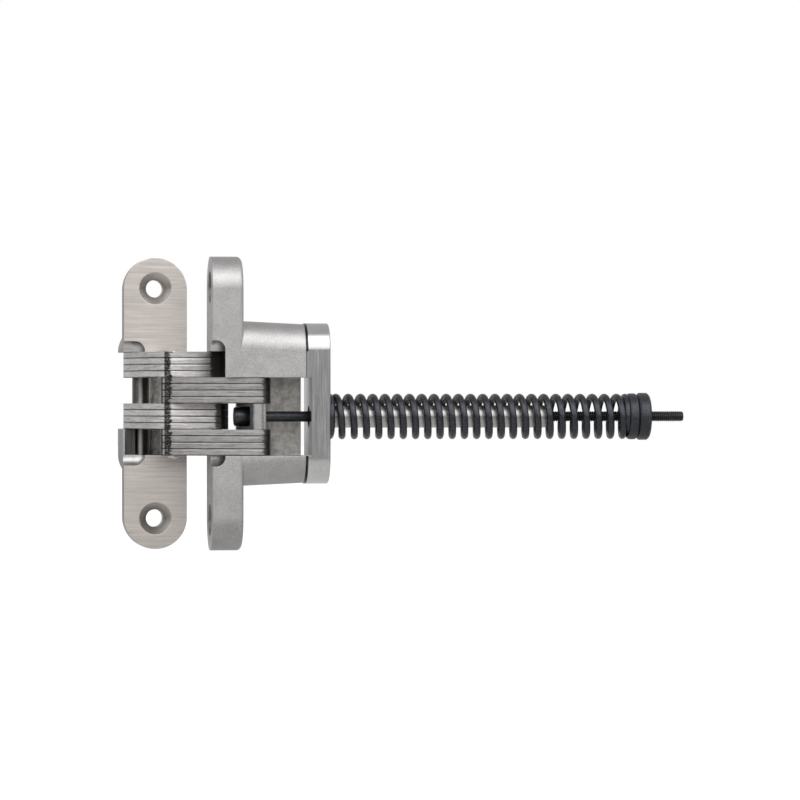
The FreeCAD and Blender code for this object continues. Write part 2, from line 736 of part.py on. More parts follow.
def spring_wire_path(mean_radius, free, wire, turns):
    """A helix in three stretches: a closed turn, the open turns and a closed turn."""
    open_turns = turns - 2
    open_length = free - 2 * wire
    stretches = ((wire, wire), (open_length / open_turns, open_length), (wire, wire))
    edges = []
    height = 0.0
    angle = 0.0
    for step, length in stretches:
        coil = Part.makeHelix(step, length, mean_radius)
        coil.Placement = FreeCAD.Placement(vec(0, 0, height), FreeCAD.Rotation(vec(0, 0, 1), angle))
        edges += coil.Edges
        height += length
        angle += 360.0 * length / step
    return Part.Wire(edges)


spring_wire = dim("spring_wire")
mean_radius = (dim("spring_diameter") - spring_wire) / 2
path = spring_wire_path(mean_radius, dim("spring_length"), spring_wire, dim("spring_turns"))
WIRE_SIDES = 8
corners = []
for i in range(WIRE_SIDES + 1):
    around = math.pi * (2 * i + 1) / WIRE_SIDES
    corners.append(vec(mean_radius + spring_wire / 2 * math.cos(around), 0, spring_wire / 2 * math.sin(around)))
section = Part.makePolygon(corners)
coil = Part.BRepOffsetAPI.MakePipeShell(path)
coil.setFrenetMode(True)
coil.add(section)
coil.build()
coil.makeSolid()
ground = Part.makeCylinder(dim("spring_diameter"), dim("spring_length"))
spring = doc.addObject("Part::Feature", "closer_spring")
spring.Shape = coil.shape().common(ground).Solids[0]
spring.Placement = FreeCAD.Placement(rod_axis + vec(plate_rear, 0, 0), FreeCAD.Rotation(vec(0, 0, 1), along))

doc.recompute()

# Checking and writing.

LINKS = ["link_row%d_plate%d" % (r, n + 1) for r in (1, 2, 3, 4) for n in range(int(dim("plates_per_row")))]
NODES = ["frame_leaf", "closer_leaf", "frame_pivot_pin", "closer_pivot_pin", "centre_pin", "slide_pin",
         "pull_pin", "closer_rod", "spring_washer", "adjusting_nut", "guide_tube", "end_plate",
         "end_plate_screw_upper", "end_plate_screw_lower", "closer_spring"] + LINKS

for item in doc.Objects:
    failed = {"Invalid", "Error"} & set(item.State)
    if failed:
        raise RuntimeError("%s failed: %s" % (item.Label, failed))

os.makedirs("parts", exist_ok=True)
for name in NODES:
    node = doc.getObject(name)
    shape = node.Shape
    if shape.isNull() or not shape.isValid() or len(shape.Solids) != 1:
        raise RuntimeError("%s has no valid single solid" % name)
    shape.exportStep("parts/%s.step" % name)
    print("%-26s volume %9.1f" % (name, shape.Volume))
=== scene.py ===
import math

import bmesh
import bpy
from bpy.props import FloatProperty, FloatVectorProperty, IntProperty, PointerProperty
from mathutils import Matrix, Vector


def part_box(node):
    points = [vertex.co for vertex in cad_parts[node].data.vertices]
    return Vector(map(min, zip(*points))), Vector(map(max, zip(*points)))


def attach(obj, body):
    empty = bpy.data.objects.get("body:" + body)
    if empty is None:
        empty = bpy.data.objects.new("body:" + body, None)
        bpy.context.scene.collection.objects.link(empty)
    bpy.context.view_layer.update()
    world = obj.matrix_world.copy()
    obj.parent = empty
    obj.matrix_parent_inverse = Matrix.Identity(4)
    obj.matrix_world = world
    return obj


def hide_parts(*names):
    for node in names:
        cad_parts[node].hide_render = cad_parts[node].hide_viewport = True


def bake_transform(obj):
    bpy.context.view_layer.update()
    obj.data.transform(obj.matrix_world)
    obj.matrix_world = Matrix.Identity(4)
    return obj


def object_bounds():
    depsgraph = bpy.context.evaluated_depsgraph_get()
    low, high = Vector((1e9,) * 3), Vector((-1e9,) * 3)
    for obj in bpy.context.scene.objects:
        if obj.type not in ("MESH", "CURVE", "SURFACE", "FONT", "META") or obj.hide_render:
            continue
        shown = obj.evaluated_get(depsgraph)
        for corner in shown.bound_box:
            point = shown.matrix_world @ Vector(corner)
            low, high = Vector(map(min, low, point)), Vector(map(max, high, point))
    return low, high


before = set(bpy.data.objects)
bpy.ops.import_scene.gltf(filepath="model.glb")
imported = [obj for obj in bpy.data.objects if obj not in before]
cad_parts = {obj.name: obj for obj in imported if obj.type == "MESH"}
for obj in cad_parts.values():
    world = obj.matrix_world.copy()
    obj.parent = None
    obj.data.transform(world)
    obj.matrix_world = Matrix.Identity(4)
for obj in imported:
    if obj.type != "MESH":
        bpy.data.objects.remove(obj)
CAD_BOX = [list(corner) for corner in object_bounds()]

bl_info = {
    "name": "Concealed Hinge Finishes",
    "version": (1, 0, 0),
    "blender": (4, 5, 0),
    "location": "View3D > Sidebar > Hinge",
    "description": "Finishes, spring, rod thread and studio for a concealed door hinge with a spring closer",
    "category": "Object",
}

MM = 0.001

LEAF_NODES = ("frame_leaf", "closer_leaf")
PIVOT_PINS = ("frame_pivot_pin", "closer_pivot_pin")
LINK_NODES = tuple(sorted(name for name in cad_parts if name.startswith("link_row")))
BLACK_NODES = ("spring_washer", "adjusting_nut", "end_plate_screw_upper", "end_plate_screw_lower")


def node_ends(node, axis):
    """The lowest and highest coordinate of a CAD node along one axis."""
    low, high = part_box(node)
    return low[axis], high[axis]


def node_length(node, axis):
    low, high = node_ends(node, axis)
    return high - low


def node_middle(node, axis):
    return sum(node_ends(node, axis)) / 2


SPRING_START, SPRING_END = node_ends("closer_spring", 0)
SPRING_RADIUS = node_length("closer_spring", 2) / 2
ROD_START, ROD_END = node_ends("closer_rod", 0)
ROD_Y, ROD_Z = node_middle("closer_rod", 1), node_middle("closer_rod", 2)
HEAD_RADIUS = node_length("closer_rod", 2) / 2
# The rod's thread starts inside the guide tube, well before the tube's end.
THREAD_START = node_ends("guide_tube", 0)[1] - 30.0 * MM

FRAME_FACE_Y = node_ends("frame_leaf", 1)[0]
FRAME_SIDE_X = node_ends("frame_leaf", 0)[0]
CLOSER_FACE_X = node_ends("closer_leaf", 0)[0]
CLOSER_SIDE_Y = node_ends("closer_leaf", 1)[0]
LEAF_WIDTH = node_length("frame_leaf", 0)
LEAF_DEPTH = node_length("frame_leaf", 1)
PLATE_PITCH = node_ends("link_row1_plate1", 2)[1] - node_ends("link_row1_plate2", 2)[1]
POCKET_HALF = 8 * PLATE_PITCH
# How far in from the leaf's open side and from its closed side the pocket's stained finish begins.
POCKET_SKINS = (0.6 * MM, 1.2 * MM)
NOTCH_DEPTH = 5.0 * MM
NOTCH_WIDTH = 8.5 * MM
NOTCH_REACH = 4.2 * MM
SCREW_HALF = 46.4 * MM
# The leaves are darkened with painted shade from their middle down to here, as if lit from above.
SHADED_BOTTOM_Z = -58.0 * MM
COUNTERSINK_RADIUS = 6.55 * MM
TOOL_MARK_PITCH = 0.55 * MM
# How far a mask reaches past the edge that it belongs to.
MARGIN = 0.1 * MM
# The wall lip's near and far side, from the leaf's outer side, and its front and back, from the leaf's face.
WALL_LIP = (3.9 * MM, 5.5 * MM, 12.0 * MM, 13.4 * MM)

# Where the plates bend, a little to the left of the centre pin.
ELBOW_X = node_middle("centre_pin", 0) - 2.0 * MM
# Where the oil and the painted shade in the crease at the elbow set in and fade out again, from the elbow.
ELBOW_OIL_AND_SHADE = (-1.65 * MM, -1.45 * MM, 0.7 * MM, 1.3 * MM)
# From the top row down, how far each row's plates are oiled and darkened with painted shade at their far
# ends, and how light each row is painted, standing in for how the light falls on its plates.
OILED_AND_SHADED_ENDS = (8.1 * MM, 3.9 * MM, 6.0 * MM, 3.9 * MM)
ROW_PAINTED_LIGHT = (1.60, 0.92, 1.55, 0.93)
# Small differences in lightness from plate to plate, and how bright the painted highlight along the edge of
# each plate in each row is.
PLATE_TONES = (1.0, 0.92, 1.04, 0.96, 1.06)
PLATE_HIGHLIGHTS = ((0.0, 1.0, 1.0, 0.6), (0.0, 0.6, 0.3, 0.5), (0.2, 0.8, 0.5, 0.7), (0.35, 0.4, 0.8, 0.6))
# The part of a turn that lies flat at each end of the spring.
LAST_TURN = 0.6

# The ramps below hold places from 0 to 1, each with a grey level or a colour.
# Painted light down the edge of one plate, from its top to the next plate's top: a bright line along the top,
# partly the blanked edge's shear band and partly painted highlight, and painted shade in the gap above the
# next plate.
EDGE_HIGHLIGHT_AND_GAP_SHADE = ((0.0, 0.16), (0.05, 0.7), (0.08, 1.5), (0.15, 1.5), (0.24, 0.95), (0.80, (0.95, 0.92, 0.90)),
              (0.89, (0.20, 0.18, 0.17)), (1.0, (0.16, 0.14, 0.13)))
DULL_EDGE_AND_GAP_SHADE = ((0.0, 0.16), (0.06, 0.7), (0.12, 0.92), (0.55, 0.92), (0.84, (0.82, 0.80, 0.78)),
              (0.90, (0.20, 0.18, 0.17)), (1.0, (0.16, 0.14, 0.13)))
ARM_LIGHT_AND_GAP_SHADE = ((0.0, 0.05), (0.05, 0.9), (0.10, 1.3), (0.83, 1.3), (0.90, 0.09), (1.0, 0.05))
# Painted highlight and shade inside the leaves' end notches, from the face to the notch's floor.
FRAME_NOTCH_PAINTED_LIGHT = ((0.0, 1.1), (1.0, 1.15))
CLOSER_NOTCH_PAINTED_LIGHT = ((0.0, 1.5), (0.45, 1.2), (0.75, 0.5), (1.0, 0.35))
# Painted reflection across the drum, in dark and bright bands from the rod's head to its far side.
DRUM_PAINTED_REFLECTION = ((0.0, 0.13), (0.44, 0.16), (0.52, 0.9), (0.70, 1.05), (0.74, 0.66), (0.78, 0.70),
              (0.81, 1.7), (0.90, 2.4), (1.0, 3.2))
# Painted highlight and shade across the slide pin: dark flanks and a bright band between them.
PIN_PAINTED_LIGHT = ((0.0, 1.3), (0.07, 1.0), (0.12, 0.45), (0.30, 0.65), (0.40, 1.8), (0.50, 1.8), (0.64, 0.5),
             (0.86, 0.40), (0.90, 1.2), (1.0, 1.2))

# Brightness of the room. Places are the height or the side that it is seen at, from straight down or left
# to straight up or right, and levels are shares of STUDIO_PEAK.
STUDIO_PEAK = 2.1
ABOVE = ((0.0, 0.15), (0.535, 0.15), (0.565, 0.85), (0.60, 1.0), (0.93, 1.0), (0.965, 0.28))
BACK_ABOVE = ((0.0, 0.32), (1.0, 0.30))
FRONT_LEVEL = ((0.0, 0.06), (0.28, 0.04), (0.36, 0.14), (0.44, 0.24), (0.52, 0.18), (0.60, 0.16),
               (0.68, 0.17), (0.76, 0.06), (0.94, 0.05), (1.0, 0.12))
BACK_LEVEL = ((0.0, 0.14), (0.20, 0.22), (0.45, 0.34), (0.8, 0.34), (1.0, 0.32))
# Where the front of the room goes over into its back, and its level part into its upper part.
FRONT_TO_BACK = ((0.46, 0.0), (0.54, 1.0))
LEVEL_TO_ABOVE = ((0.53, 0.0), (0.56, 1.0))

FLOOR_Z = CAD_BOX[0][2]
FLOOR_HALF = 4.0
FLOOR_GREY = 0.82
# The share of plain white, and its strength, that the camera sees in place of the shaded floor.
FLOOR_WHITE, FLOOR_GLOW = 0.88, 1.1
# How bright the floor is in reflections, near the part and far from it.
FLOOR_MIRRORED = {"low": 0.06, "high": 0.5, "to_low": 0.85, "to_high": 0.28}

CAMERA_PLACE = (-0.1844, -1.770, 0.0014)
CAMERA_TURN = (math.radians(90.0), 0.0, math.radians(-8.0))
CAMERA_LENS = 200.0
CAMERA_SENSOR = 36.0

# The sockets of a colour mix node, which share their names with those for numbers and vectors.
MIX_SHARE, MIX_FIRST, MIX_SECOND, MIX_RESULT = 0, 6, 7, 2
# The values that nearly all of a noise lies between, and those that most of it lies between.
NOISE_ENDS = (0.3, 0.7)
NOISE_BODY = (0.36, 0.64)


class HingeSizes(bpy.types.PropertyGroup):
    """Sizes of the pieces that this file makes."""

    plate_round: FloatProperty(
        name="Plate round", description="Rounding of the link plates' edges",
        default=0.16 * MM, min=0.01 * MM, subtype="DISTANCE", unit="LENGTH")
    wire_diameter: FloatProperty(
        name="Spring wire", description="Diameter of the closer spring's wire",
        default=2.8 * MM, min=0.5 * MM, subtype="DISTANCE", unit="LENGTH")
    spring_turns: FloatProperty(
        name="Spring turns", description="Turns of the closer spring, between its ground ends",
        default=24.2, min=4.0)
    spring_phase: FloatProperty(
        name="Spring phase", description="Turn of the spring about its axis",
        default=math.radians(-91.5), subtype="ANGLE", unit="ROTATION")
    thread_pitch: FloatProperty(
        name="Thread pitch", description="Pitch of the closer rod's thread",
        default=0.794 * MM, min=0.2 * MM, subtype="DISTANCE", unit="LENGTH")
    rod_diameter: FloatProperty(
        name="Rod diameter", description="Outside diameter of the closer rod",
        default=4.2 * MM, min=1.0 * MM, subtype="DISTANCE", unit="LENGTH")
    head_length: FloatProperty(
        name="Head length", description="Length of the closer rod's cap head",
        default=5.7 * MM, min=1.0 * MM, subtype="DISTANCE", unit="LENGTH")
    socket_across: FloatProperty(
        name="Socket", description="Width across the flats of the cap head's socket",
        default=4.0 * MM, min=1.0 * MM, subtype="DISTANCE", unit="LENGTH")
    round_segments: IntProperty(
        name="Round segments", description="Segments around the rod", default=32, min=8)
    steps_a_pitch: IntProperty(
        name="Thread steps", description="Steps along one pitch of the rod's thread", default=6, min=4)
    wire_segments: IntProperty(
        name="Wire segments", description="Segments around the spring's wire", default=14, min=6)
    steps_a_turn: IntProperty(
        name="Spring steps", description="Steps along one turn of the spring", default=48, min=12)


class HingeColours(bpy.types.PropertyGroup):
    """Colours of the finishes."""

    nickel: FloatVectorProperty(
        name="Brushed nickel", description="Plated face of the leaves",
        default=(0.575, 0.532, 0.497), size=3, min=0.0, max=1.0, subtype="COLOR")
    casting: FloatVectorProperty(
        name="Casting", description="Matte cast metal of the leaves",
        default=(0.42, 0.412, 0.406), size=3, min=0.0, max=1.0, subtype="COLOR")
    pocket: FloatVectorProperty(
        name="Pocket", description="Unplated casting inside the leaves' pockets",
        default=(0.60, 0.58, 0.55), size=3, min=0.0, max=1.0, subtype="COLOR")
    stain: FloatVectorProperty(
        name="Pocket stain", description="Oil stains inside the leaves' pockets",
        default=(0.27, 0.25, 0.225), size=3, min=0.0, max=1.0, subtype="COLOR")
    countersink: FloatVectorProperty(
        name="Countersink", description="Turned cones of the screw holes",
        default=(0.56, 0.53, 0.50), size=3, min=0.0, max=1.0, subtype="COLOR")
    plate: FloatVectorProperty(
        name="Link plate", description="Blanked edges of the link plates",
        default=(0.46, 0.45, 0.44), size=3, min=0.0, max=1.0, subtype="COLOR")
    pin: FloatVectorProperty(
        name="Oiled pin", description="Dark oiled steel of the pins",
        default=(0.20, 0.195, 0.19), size=3, min=0.0, max=1.0, subtype="COLOR")
    # Also stands in for painted shade: in the crease at the plates' elbows, at their far ends and at the near
    # ends of rows 2 and 4.
    oil: FloatVectorProperty(
        name="Dark oil", description="Old oil at the elbows and ends of the link plates",
        default=(0.045, 0.042, 0.040), size=3, min=0.0, max=1.0, subtype="COLOR")
    black: FloatVectorProperty(
        name="Black finish", description="Black oxide of the rod, nut, washer and screws",
        default=(0.038, 0.040, 0.046), size=3, min=0.0, max=1.0, subtype="COLOR")
    worn: FloatVectorProperty(
        name="Worn black", description="Brown where the black finish is rubbed",
        default=(0.20, 0.17, 0.145), size=3, min=0.0, max=1.0, subtype="COLOR")
    milled: FloatVectorProperty(
        name="Milled plate", description="Milled steel of the end plate",
        default=(0.52, 0.515, 0.51), size=3, min=0.0, max=1.0, subtype="COLOR")
    tube: FloatVectorProperty(
        name="Drawn tube", description="Bright steel of the guide tube",
        default=(0.46, 0.445, 0.43), size=3, min=0.0, max=1.0, subtype="COLOR")


def sizes():
    return bpy.context.scene.hinge_sizes


def colours():
    return bpy.context.scene.hinge_colours


def shade(colour, amount):
    """A colour made lighter or darker by an amount."""
    return tuple(min(1.0, channel * amount) for channel in colour)


def colours_of(name, amount=1.0):
    """A colour of the sidebar, lighter or darker by an amount, for a node's own socket."""
    return shade(getattr(colours(), name), amount)


def opaque(colour):
    """Four channels, from three or from a grey level."""
    return (*colour, 1.0) if isinstance(colour, (tuple, list)) else (colour, colour, colour, 1.0)


class Nodes:
    """Shader nodes that are added to an emptied tree one after another."""

    def __init__(self, tree):
        self.tree = tree
        self.tree.nodes.clear()

    def link(self, source, target):
        self.tree.links.new(source, target)

    def feed(self, socket, item):
        """Sets a socket to a number or a colour, or links an output to it."""
        if isinstance(item, (int, float)):
            socket.default_value = item
        elif isinstance(item, (tuple, list)):
            socket.default_value = opaque(item)
        else:
            self.link(item, socket)

    def node(self, kind, **settings):
        made = self.tree.nodes.new(kind)
        for key, setting in settings.items():
            setattr(made, key, setting)
        return made

    def split(self, vector):
        """The three numbers of a vector."""
        made = self.node("ShaderNodeSeparateXYZ")
        self.link(vector, made.inputs[0])
        return tuple(made.outputs)

    def ramp(self, value, stops):
        made = self.node("ShaderNodeValToRGB")
        elements = made.color_ramp.elements
        while len(elements) < len(stops):
            elements.new(0.5)
        for element, (spot, colour) in zip(elements, stops):
            element.position = spot
            element.color = opaque(colour)
        self.link(value, made.inputs[0])
        return made.outputs[0]

    def range(self, value, low, high, to_low, to_high):
        made = self.node("ShaderNodeMapRange")
        for name, number in (("From Min", low), ("From Max", high), ("To Min", to_low), ("To Max", to_high)):
            made.inputs[name].default_value = number
        self.link(value, made.inputs["Value"])
        return made.outputs["Result"]

    def math(self, operation, first, second=0.0):
        made = self.node("ShaderNodeMath", operation=operation)
        for socket, item in zip(made.inputs, (first, second)):
            self.feed(socket, item)
        return made.outputs[0]

    def mix(self, share, first, second, blend="MIX"):
        made = self.node("ShaderNodeMix", data_type="RGBA", blend_type=blend)
        for number, item in ((MIX_SHARE, share), (MIX_FIRST, first), (MIX_SECOND, second)):
            self.feed(made.inputs[number], item)
        return made.outputs[MIX_RESULT]

    def shaders(self, share, first, second):
        """A mix of two shaders."""
        made = self.node("ShaderNodeMixShader")
        for socket, item in zip(made.inputs, (share, first, second)):
            self.link(item, socket)
        return made.outputs[0]

    def glow(self, strength):
        made = self.node("ShaderNodeEmission")
        self.feed(made.inputs["Strength"], strength)
        return made.outputs[0]

    def above(self, value, limit):
        return self.math("GREATER_THAN", value, limit)

    def below(self, value, limit):
        return self.math("LESS_THAN", value, limit)

    def all_of(self, first, *others):
        """The product of several masks."""
        for other in others:
            first = self.math("MULTIPLY", first, other)
        return first

    def vary(self, noise, low, high):
        """A number that noise moves between two ends."""
        return self.range(noise, *NOISE_ENDS, low, high)

    def tinted(self, noise, colour, dark, light):
        """A colour that noise moves between darker and lighter."""
        first, last = NOISE_BODY
        return self.ramp(noise, ((first, shade(colour, dark)), (last, shade(colour, light))))


class Finish(Nodes):
    """A material whose pattern lies fixed in an object's own coordinates."""

    def __init__(self, name):
        self.material = bpy.data.materials.new(name)
        self.material.use_nodes = True
        super().__init__(self.material.node_tree)
        self.shader = self.node("ShaderNodeBsdfPrincipled")
        self.link(self.shader.outputs[0], self.node("ShaderNodeOutputMaterial").inputs["Surface"])
        self.coordinates = self.node("ShaderNodeTexCoord")
        self.place = self.coordinates.outputs["Object"]

    def axis(self, number):
        """Where a point lies along one axis of the object."""
        return self.split(self.place)[number]

    def normal(self, number):
        """How far the surface faces along one axis of the object."""
        return self.split(self.coordinates.outputs["Normal"])[number]

    def noise(self, stretch, detail=4.0, roughness=0.55):
        """Noise whose grains are one over stretch long, in metres, along each axis or along all three."""
        mapping = self.node("ShaderNodeMapping")
        mapping.inputs["Scale"].default_value = stretch if isinstance(stretch, tuple) else (stretch,) * 3
        self.link(self.place, mapping.inputs["Vector"])
        noise = self.node("ShaderNodeTexNoise")
        noise.inputs["Scale"].default_value = 1.0
        noise.inputs["Detail"].default_value = detail
        noise.inputs["Roughness"].default_value = roughness
        self.link(mapping.outputs[0], noise.inputs["Vector"])
        return noise.outputs["Fac"]

    def surface(self, colour, roughness, metallic):
        """Sets the colour, the roughness and the metallic share."""
        for name, item in (("Base Color", colour), ("Roughness", roughness), ("Metallic", metallic)):
            self.feed(self.shader.inputs[name], item)

    def relief(self, heights, soft_edge=0.0):
        """Bump from several heights, each (value, strength, distance in metres), over rounded edges."""
        normal = None
        if soft_edge:
            bevel = self.node("ShaderNodeBevel", samples=6)
            bevel.inputs["Radius"].default_value = soft_edge
            normal = bevel.outputs[0]
        for value, strength, distance in heights:
            bump = self.node("ShaderNodeBump")
            bump.inputs["Strength"].default_value = strength
            bump.inputs["Distance"].default_value = distance
            self.link(value, bump.inputs["Height"])
            if normal is not None:
                self.link(normal, bump.inputs["Normal"])
            normal = bump.outputs[0]
        self.link(normal, self.shader.inputs["Normal"])


def leaf_finish(name, depth_axis, face_at, side_at, brush, plating, notch_painted_light, sink_tone, pocket_painted_light):
    """Cast metal with a plated face, turned countersinks and a stained pocket, darker with painted shade
    towards its bottom.

    The casting's face lies at face_at on its depth axis and its open side at side_at on the other level axis;
    brush gives the fineness of the face's lines along each axis, plating the face's colour,
    notch_painted_light the painted highlight and shade inside the end notches, sink_tone the brightness of
    the countersinks, and pocket_painted_light how light the pocket is painted.
    """
    finish = Finish(name)
    grain = finish.noise(2300.0, 5.0, 0.75)
    clouds = finish.noise(150.0, 4.0, 0.6)
    depth = finish.math("SUBTRACT", finish.axis(depth_axis), face_at)
    aside = finish.math("SUBTRACT", finish.axis(1 - depth_axis), side_at)
    height = finish.math("ABSOLUTE", finish.axis(2))
    casting = colours().casting
    cast = finish.mix(0.4, finish.tinted(grain, casting, 0.60, 1.34),
                      finish.tinted(clouds, casting, 0.82, 1.12))

    in_notch = finish.all_of(
        finish.below(height, POCKET_HALF + NOTCH_REACH + MARGIN),
        finish.above(height, POCKET_HALF + MARGIN / 2),
        finish.below(aside, NOTCH_WIDTH + 3 * MARGIN), finish.above(aside, MARGIN / 2),
        finish.below(depth, NOTCH_DEPTH + MARGIN))
    # Painted highlight and shade in the end notches, set by depth from the face.
    notch_painted_ramp = finish.ramp(finish.range(depth, 0.0, NOTCH_DEPTH, 0.0, 1.0), notch_painted_light)
    painted_notch = finish.mix(1.0, finish.tinted(clouds, casting, 0.9, 1.1), notch_painted_ramp, "MULTIPLY")
    cast = finish.mix(in_notch, cast, painted_notch)

    in_pocket = finish.all_of(
        finish.above(depth, NOTCH_DEPTH + MARGIN), finish.below(depth, LEAF_DEPTH - 2 * MARGIN),
        finish.above(aside, POCKET_SKINS[0]), finish.below(aside, LEAF_WIDTH - POCKET_SKINS[1]),
        finish.below(height, POCKET_HALF - MARGIN / 2))
    stains = finish.range(finish.noise(330.0, 5.0, 0.65), 0.42, 0.62, 0.0, 1.0)
    # The pocket's bare and stained colours are painted lighter in the frame leaf and darker in the closer
    # leaf.
    bare = colours_of("pocket", pocket_painted_light)
    stained = finish.mix(stains, bare, colours_of("stain", pocket_painted_light))
    cast = finish.mix(in_pocket, cast, finish.mix(0.25, stained, finish.tinted(grain, bare, 0.6, 1.3)))
    # The ledge beside the wall lip is coloured very dark, at 0.4 of the stain colour.
    on_ledge = finish.all_of(in_pocket, finish.below(aside, WALL_LIP[1] + MARGIN))
    cast = finish.mix(on_ledge, cast, colours_of("stain", 0.4))

    across = finish.math("SUBTRACT", aside, LEAF_WIDTH / 2)
    up = finish.math("SUBTRACT", height, SCREW_HALF)
    squares = finish.math("ADD", finish.math("MULTIPLY", across, across), finish.math("MULTIPLY", up, up))
    away = finish.math("SQRT", squares)
    in_sink = finish.below(away, COUNTERSINK_RADIUS + MARGIN)
    rings = finish.math("SINE", finish.math("MULTIPLY", away, math.tau / TOOL_MARK_PITCH))
    turned = finish.mix(finish.range(rings, -1.0, 1.0, 0.0, 1.0), colours_of("countersink", 0.76 * sink_tone),
                        colours_of("countersink", 1.12 * sink_tone))
    # Painted light on the countersink cones: lighter where they run toward the leaf's ends, darker at their
    # sides.
    toward_end = finish.math("DIVIDE", finish.math("ABSOLUTE", up), away)
    turned = finish.mix(1.0, turned, finish.range(toward_end, 0.0, 1.0, 0.84, 1.10), "MULTIPLY")
    cast = finish.mix(in_sink, cast, turned)

    lines = finish.noise(brush, 6.0, 0.68)
    plated = finish.mix(0.2, finish.tinted(lines, plating, 0.81, 1.14),
                        finish.tinted(clouds, plating, 0.88, 1.06))
    on_face = finish.below(depth, 0.06 * MM)
    # Painted shade: the leaves grow darker from their middle down.
    painted_shade_below = finish.range(finish.axis(2), SHADED_BOTTOM_Z, 0.0, 0.75, 1.0)
    colour = finish.mix(1.0, finish.mix(on_face, cast, plated), painted_shade_below, "MULTIPLY")
    rough = finish.mix(in_notch, finish.vary(grain, 0.36, 0.50), (0.30, 0.30, 0.30))
    rough = finish.mix(in_sink, rough, finish.range(rings, -1.0, 1.0, 0.30, 0.36))
    rough = finish.mix(on_face, rough, finish.vary(lines, 0.34, 0.50))
    finish.surface(colour, rough, finish.range(in_pocket, 0.0, 1.0, 0.95, 0.25))
    off_face = finish.math("SUBTRACT", 1.0, on_face)
    finish.relief(((finish.all_of(off_face, grain), 0.6, 0.14 * MM),
                   (finish.all_of(on_face, lines), 0.4, 0.03 * MM)), 0.35 * MM)
    return finish.material


def plate_finish(name, amount, edge_highlight, oil_and_shade_from, arm_painted_light, shaded_root_at):
    """Blanked plate: a bright line along its edge's top, partly painted highlight, and painted shade in the
    gaps between plates; oil with painted shade at the elbow and at its far end, and painted shade at its near
    end.

    Amount is how light the steel is, partly the painted light of its row, edge_highlight how bright the
    painted highlight along its edge, oil_and_shade_from where the oil and painted shade at its far end set
    in, arm_painted_light how light it is painted before the elbow, and shaded_root_at where the painted shade
    at its near end lies, if it has one.
    """
    finish = Finish(name)
    steel = shade(colours().plate, amount)
    streaks = finish.noise((130.0, 130.0, 2700.0), 5.0, 0.6)
    specks = finish.noise((900.0, 900.0, 2600.0), 4.0, 0.7)
    stains = finish.noise((420.0, 420.0, 700.0), 4.0, 0.6)
    ragged = finish.noise((260.0, 260.0, 900.0), 4.0, 0.7)

    # Painted light down each plate's edge: a bright top line and a dark gap line, waved a little by noise.
    waved = finish.math("ADD", finish.axis(2), finish.vary(stains, -0.05 * MM, 0.05 * MM))
    level = finish.math("FRACT", finish.math("MULTIPLY", waved, -1.0 / PLATE_PITCH))
    edge = finish.mix(edge_highlight, finish.ramp(level, DULL_EDGE_AND_GAP_SHADE), finish.ramp(level, EDGE_HIGHLIGHT_AND_GAP_SHADE))
    # Before the elbow the edge gets its own painted light, brighter for the arms of rows 2 and 4.
    arm_light_and_shade = finish.ramp(level, [(spot, arm_painted_light * grey) for spot, grey in ARM_LIGHT_AND_GAP_SHADE])
    right_of_elbow = finish.range(finish.axis(0), ELBOW_X - 0.5 * MM, ELBOW_X + 0.5 * MM, 0.0, 1.0)
    lines = finish.mix(right_of_elbow, arm_light_and_shade, edge)
    upright = finish.below(finish.math("ABSOLUTE", finish.normal(2)), 0.8)
    base = finish.mix(0.35, finish.tinted(streaks, steel, 0.66, 1.24),
                      finish.tinted(stains, steel, 0.70, 1.10))
    base = finish.mix(upright, base, finish.mix(1.0, base, lines, "MULTIPLY"))

    wander = finish.vary(ragged, -1.0 * MM, 1.0 * MM)
    off_elbow = finish.math("SUBTRACT", finish.axis(0), ELBOW_X)
    # Oil and painted shade in the crease at the elbow.
    oil_and_shade_at_elbow = finish.all_of(
        finish.range(off_elbow, *ELBOW_OIL_AND_SHADE[:2], 0.0, 1.0),
        finish.range(finish.math("ADD", off_elbow, wander), *ELBOW_OIL_AND_SHADE[2:], 1.0, 0.0),
        finish.range(specks, 0.36, 0.5, 0.62, 0.98))
    wandering = finish.math("ADD", finish.axis(0), wander)
    # Oil and painted shade at the plate's far end.
    oil_and_shade_at_end = finish.all_of(finish.range(wandering, oil_and_shade_from, oil_and_shade_from + 0.8 * MM, 0.0, 1.0),
                               finish.range(specks, 0.36, 0.5, 0.90, 0.98))
    base = finish.mix(oil_and_shade_at_end, base, colours_of("oil", 2.5))
    base = finish.mix(oil_and_shade_at_elbow, base, colours_of("oil", 0.4))
    # Painted shade at the arm's near end, in the oil's colour.
    if shaded_root_at is not None:
        shade_at_root = finish.range(finish.axis(0), shaded_root_at + 0.5 * MM, shaded_root_at + 1.1 * MM, 0.85, 0.0)
        base = finish.mix(shade_at_root, base, colours_of("oil"))
    finish.surface(base, finish.vary(streaks, 0.30, 0.44), 1.0)
    finish.relief(((streaks, 0.3, 0.05 * MM),))
    return finish.material


def painted_band_finish(name, node, colour, light_bands):
    """Turned steel of an upright pin, with painted highlight and shade in bands across it."""
    finish = Finish(name)
    lines = finish.noise((300.0, 300.0, 4200.0), 5.0, 0.6)
    stains = finish.noise((500.0, 500.0, 200.0), 4.0, 0.6)
    across = finish.math("ADD", finish.axis(0), finish.vary(stains, -0.15 * MM, 0.15 * MM))
    # Painted highlight and shade in bands across the pin.
    tones = finish.ramp(finish.range(across, *node_ends(node, 0), 0.0, 1.0), light_bands)
    base = finish.mix(1.0, finish.tinted(lines, colour, 0.85, 1.15), tones, "MULTIPLY")
    finish.surface(base, finish.vary(lines, 0.30, 0.42), 1.0)
    finish.relief(((lines, 0.25, 0.04 * MM),), 0.2 * MM)
    return finish.material


